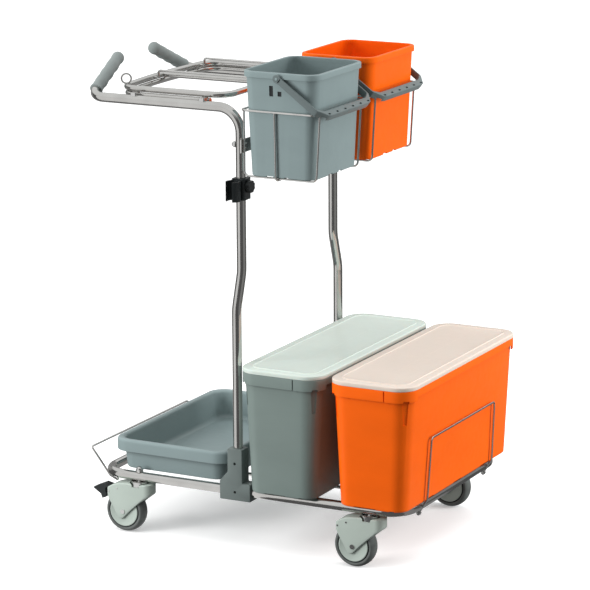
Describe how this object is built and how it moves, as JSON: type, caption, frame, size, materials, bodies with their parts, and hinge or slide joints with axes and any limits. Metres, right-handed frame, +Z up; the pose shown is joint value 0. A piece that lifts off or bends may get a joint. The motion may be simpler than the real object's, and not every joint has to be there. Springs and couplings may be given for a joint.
{
  "type": "cleaning trolley with mop boxes",
  "caption": "Stainless tube cleaning trolley on swivel casters with lidded mop boxes, small buckets in wire holders, a tray, push grips, a waste-sack frame and a broom clip.",
  "frame": {"origin": "on the floor under the middle of the trolley's outline", "axes": "+X from the push grips to the mop boxes, +Y across the trolley, +Z up"},
  "size_m": [0.8641, 0.601, 1.1018],
  "materials": {
    "steel_tube": "bright polished stainless tube",
    "steel_wire": "bright drawn stainless wire",
    "fastener": "plated steel",
    "grip_plastic": "soft grained grip",
    "connector_plastic": "moulded, fine grain",
    "black_plastic": "moulded, fine grain",
    "grey_plastic": "satin blue-grey polypropylene",
    "orange_plastic": "satin orange polypropylene",
    "lid_plastic": "milky translucent polypropylene",
    "caster_plastic": "light green-grey polyamide",
    "core_plastic": "dark bearing seal",
    "tyre_rubber": "non-marking grey rubber"
  },
  "bodies": {
    "chassis": {"base_tube_rear": "steel_tube", "base_tube_front": "steel_tube", "support_rods": "steel_wire", "handle_frame_near": "steel_tube", "handle_frame_far": "steel_tube", "grip_near": "grip_plastic", "grip_far": "grip_plastic", "connector_near_outer": "connector_plastic", "connector_near_inner": "connector_plastic", "connector_far_outer": "connector_plastic", "connector_far_inner": "connector_plastic", "connector_screws": "fastener", "bag_frame": "steel_tube", "bag_bracket": "steel_tube", "bracket_clips": "fastener", "bucket_holder_near": "steel_wire", "bucket_holder_far": "steel_wire", "holder_cross_bar": "steel_wire", "holder_bolts": "fastener", "box_guard": "steel_wire", "tray_guard": "steel_wire", "guard_nuts": "fastener", "clip_body": "black_plastic", "clip_jaw": "black_plastic", "caster_stems": "fastener", "caster_cap_nuts": "fastener"},
    "box_grey": {"box_grey": "grey_plastic"},
    "box_orange": {"box_orange": "orange_plastic"},
    "lid_grey": {"lid_grey": "lid_plastic"},
    "lid_orange": {"lid_orange": "lid_plastic"},
    "tray": {"tray": "grey_plastic"},
    "bucket_near": {"bucket_near": "grey_plastic"},
    "bail_near": {"bail_near": "grey_plastic"},
    "sack_clamp_near": {"sack_clamp_near": "steel_wire"},
    "bucket_far": {"bucket_far": "orange_plastic"},
    "bail_far": {"bail_far": "grey_plastic"},
    "sack_clamp_far": {"sack_clamp_far": "steel_wire"},
    "clip_knob": {"clip_knob": "black_plastic"},
    "swivel_rear_near": {"housing_rear_near": "caster_plastic", "axle_rear_near": "fastener"},
    "wheel_rear_near": {"tyre_rear_near": "tyre_rubber", "wheel_core_rear_near": "core_plastic", "wheel_covers_rear_near": "caster_plastic"},
    "brake_rear_near": {"brake_pedal_rear_near": "black_plastic"},
    "swivel_rear_far": {"housing_rear_far": "caster_plastic", "axle_rear_far": "fastener"},
    "wheel_rear_far": {"tyre_rear_far": "tyre_rubber", "wheel_core_rear_far": "core_plastic", "wheel_covers_rear_far": "caster_plastic"},
    "brake_rear_far": {"brake_pedal_rear_far": "black_plastic"},
    "swivel_front_near": {"housing_front_near": "caster_plastic", "axle_front_near": "fastener"},
    "wheel_front_near": {"tyre_front_near": "tyre_rubber", "wheel_core_front_near": "core_plastic", "wheel_covers_front_near": "caster_plastic"},
    "swivel_front_far": {"housing_front_far": "caster_plastic", "axle_front_far": "fastener"},
    "wheel_front_far": {"tyre_front_far": "tyre_rubber", "wheel_core_front_far": "core_plastic", "wheel_covers_front_far": "caster_plastic"}
  },
  "joints": [
    {"name": "box_grey_lift", "type": "slide", "parent": "chassis", "child": "box_grey", "axis": [0, 0, 1], "range_m": [0, 0.2]},
    {"name": "box_orange_lift", "type": "slide", "parent": "chassis", "child": "box_orange", "axis": [0, 0, 1], "range_m": [0, 0.2]},
    {"name": "lid_grey_lift", "type": "slide", "parent": "box_grey", "child": "lid_grey", "axis": [0, 0, 1], "range_m": [0, 0.12]},
    {"name": "lid_orange_lift", "type": "slide", "parent": "box_orange", "child": "lid_orange", "axis": [0, 0, 1], "range_m": [0, 0.12]},
    {"name": "tray_lift", "type": "slide", "parent": "chassis", "child": "tray", "axis": [0, 0, 1], "range_m": [0, 0.2]},
    {"name": "bucket_near_lift", "type": "slide", "parent": "chassis", "child": "bucket_near", "axis": [0, 0, 1], "range_m": [0, 0.28]},
    {"name": "bail_near_swing", "type": "hinge", "parent": "bucket_near", "child": "bail_near", "pos_m": [0.09265, -0.1387, 1.089], "axis": [0, -1, 0], "range_deg": [0, 124]},
    {"name": "sack_clamp_near_swing", "type": "hinge", "parent": "chassis", "child": "sack_clamp_near", "pos_m": [-0.1902, -0.05, 1.032], "axis": [1, 0, 0], "range_deg": [-90, 90]},
    {"name": "bucket_far_lift", "type": "slide", "parent": "chassis", "child": "bucket_far", "axis": [0, 0, 1], "range_m": [0, 0.28]},
    {"name": "bail_far_swing", "type": "hinge", "parent": "bucket_far", "child": "bail_far", "pos_m": [0.09265, 0.1387, 1.089], "axis": [0, -1, 0], "range_deg": [0, 124]},
    {"name": "sack_clamp_far_swing", "type": "hinge", "parent": "chassis", "child": "sack_clamp_far", "pos_m": [-0.1902, 0.155, 1.032], "axis": [1, 0, 0], "range_deg": [-90, 90]},
    {"name": "clip_knob_turn", "type": "hinge", "parent": "chassis", "child": "clip_knob", "pos_m": [-0.0012, -0.2276, 0.836], "axis": [1, 0, 0], "continuous": true},
    {"name": "swivel_rear_near_turn", "type": "hinge", "parent": "chassis", "child": "swivel_rear_near", "pos_m": [-0.2782, -0.254, 0.115], "axis": [0, 0, 1], "continuous": true},
    {"name": "wheel_rear_near_spin", "type": "hinge", "parent": "swivel_rear_near", "child": "wheel_rear_near", "pos_m": [-0.3132, -0.254, 0.05], "axis": [0, 1, 0], "continuous": true},
    {"name": "brake_rear_near_press", "type": "hinge", "parent": "swivel_rear_near", "child": "brake_rear_near", "pos_m": [-0.3502, -0.254, 0.095], "axis": [0, -1, 0], "range_deg": [0, 12]},
    {"name": "swivel_rear_far_turn", "type": "hinge", "parent": "chassis", "child": "swivel_rear_far", "pos_m": [-0.2782, 0.254, 0.115], "axis": [0, 0, 1], "continuous": true},
    {"name": "wheel_rear_far_spin", "type": "hinge", "parent": "swivel_rear_far", "child": "wheel_rear_far", "pos_m": [-0.3132, 0.254, 0.05], "axis": [0, 1, 0], "continuous": true},
    {"name": "brake_rear_far_press", "type": "hinge", "parent": "swivel_rear_far", "child": "brake_rear_far", "pos_m": [-0.3502, 0.254, 0.095], "axis": [0, -1, 0], "range_deg": [0, 12]},
    {"name": "swivel_front_near_turn", "type": "hinge", "parent": "chassis", "child": "swivel_front_near", "pos_m": [0.3148, -0.254, 0.115], "axis": [0, 0, 1], "continuous": true},
    {"name": "wheel_front_near_spin", "type": "hinge", "parent": "swivel_front_near", "child": "wheel_front_near", "pos_m": [0.2798, -0.254, 0.05], "axis": [0, 1, 0], "continuous": true},
    {"name": "swivel_front_far_turn", "type": "hinge", "parent": "chassis", "child": "swivel_front_far", "pos_m": [0.3148, 0.254, 0.115], "axis": [0, 0, 1], "continuous": true},
    {"name": "wheel_front_far_spin", "type": "hinge", "parent": "swivel_front_far", "child": "wheel_front_far", "pos_m": [0.2798, 0.254, 0.05], "axis": [0, 1, 0], "continuous": true}
  ]
}
